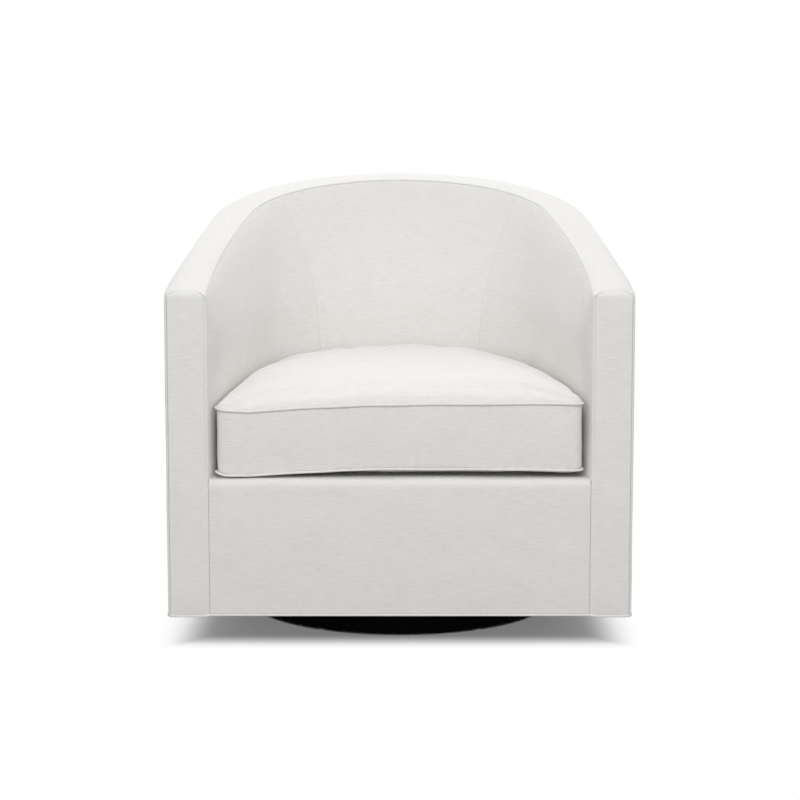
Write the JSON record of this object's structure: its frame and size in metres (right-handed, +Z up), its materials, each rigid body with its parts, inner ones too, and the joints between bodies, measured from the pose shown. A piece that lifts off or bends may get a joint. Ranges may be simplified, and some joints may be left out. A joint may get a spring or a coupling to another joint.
{
  "type": "swivel barrel chair",
  "caption": "Upholstered swivel barrel chair: a low rounded back runs into sloped arms, with a loose boxed seat cushion, on a recessed round plinth that turns on a ball bearing.",
  "frame": {"origin": "on the floor, on the swivel axis, under the middle of the chair", "axes": "+Z up along the swivel axis, -Y the way a sitter faces, +X to the right seen from in front of the chair"},
  "size_m": [0.803, 0.803, 0.7539],
  "materials": {
    "linen": "off-white plain weave with slubs",
    "hardwood": "planed hardwood",
    "plywood": "sanded plywood",
    "steel": "black oxide",
    "zinc": "zinc plated",
    "ball_steel": "polished",
    "spring_steel": "oiled wire",
    "black_paint": "black satin paint on plywood",
    "foam": "open cell foam with polyester wrap",
    "webbing": "elastic webbing",
    "fibreboard": "upholstery fibreboard",
    "nylon": "moulded nylon",
    "tie_cord": "paper covered wire",
    "felt": "needled cotton felt",
    "deck_cloth": "plain platform cloth",
    "cambric": "black non-woven cloth",
    "zip_tape": "woven tape with nylon coil",
    "zip_metal": "nickel plated"
  },
  "bodies": {
    "base": {"base_glides": "nylon", "base_ring": "black_paint", "base_top": "black_paint", "base_screws": "zinc", "lower_swivel_plate": "steel", "plate_screws": "zinc", "king_bolt": "zinc", "king_nut": "zinc"},
    "bearing": {"bearing_cage": "steel", "bearing_balls": "ball_steel"},
    "chair_body": {"upper_swivel_plate": "steel", "swivel_bolts": "zinc", "swivel_rails": "hardwood", "front_rail": "plywood", "side_panel_left": "plywood", "side_panel_right": "plywood", "back_panel": "plywood", "spring_rail_back": "hardwood", "arm_post_left": "hardwood", "arm_post_right": "hardwood", "top_rail_left": "plywood", "top_rail_right": "plywood", "top_rail_back": "plywood", "arm_rib_left": "plywood", "arm_rib_right": "plywood", "back_rib_left": "plywood", "back_rib_centre": "plywood", "back_rib_right": "plywood", "corner_blocks": "hardwood", "seat_springs": "spring_steel", "spring_clips": "steel", "spring_ties": "tie_cord", "deck_pad": "felt", "deck_cloth": "deck_cloth", "back_webbing": "webbing", "front_rail_pad": "foam", "arm_front_pads": "foam", "top_pad": "foam", "inside_foam_left": "foam", "inside_foam_right": "foam", "inside_foam_back": "foam", "outside_board_left": "fibreboard", "outside_board_right": "fibreboard", "outside_board_back": "fibreboard", "outside_cover_left": "linen", "outside_cover_right": "linen", "outside_cover_back": "linen", "inside_cover_left": "linen", "inside_cover_right": "linen", "inside_cover_back": "linen", "arm_front_cover_left": "linen", "arm_front_cover_right": "linen", "front_rail_cover": "linen", "top_band": "linen", "hem_welt": "linen", "dust_cover": "cambric"},
    "seat_cushion": {"cushion_core": "foam", "cushion_cover": "linen", "zip_tape": "zip_tape"},
    "zip_pull": {"zip_slider": "zip_metal"}
  },
  "joints": [
    {"name": "swivel", "type": "hinge", "parent": "base", "child": "chair_body", "pos_m": [0, 0, 0.07], "axis": [0, 0, 1], "continuous": true},
    {"name": "bearing_roll", "type": "hinge", "parent": "base", "child": "bearing", "pos_m": [0, 0, 0.07], "axis": [0, 0, 1], "continuous": true},
    {"name": "cushion_lift", "type": "slide", "parent": "chair_body", "child": "seat_cushion", "axis": [0, 0, 1], "range_m": [0, 0.36]},
    {"name": "zip_run", "type": "hinge", "parent": "seat_cushion", "child": "zip_pull", "pos_m": [0, -0.0805, 0.374], "axis": [0, 0, 1], "range_deg": [0, 92]}
  ],
  "couplings": [
    {"joint": "bearing_roll", "follows": "swivel", "ratio": 0.5}
  ]
}
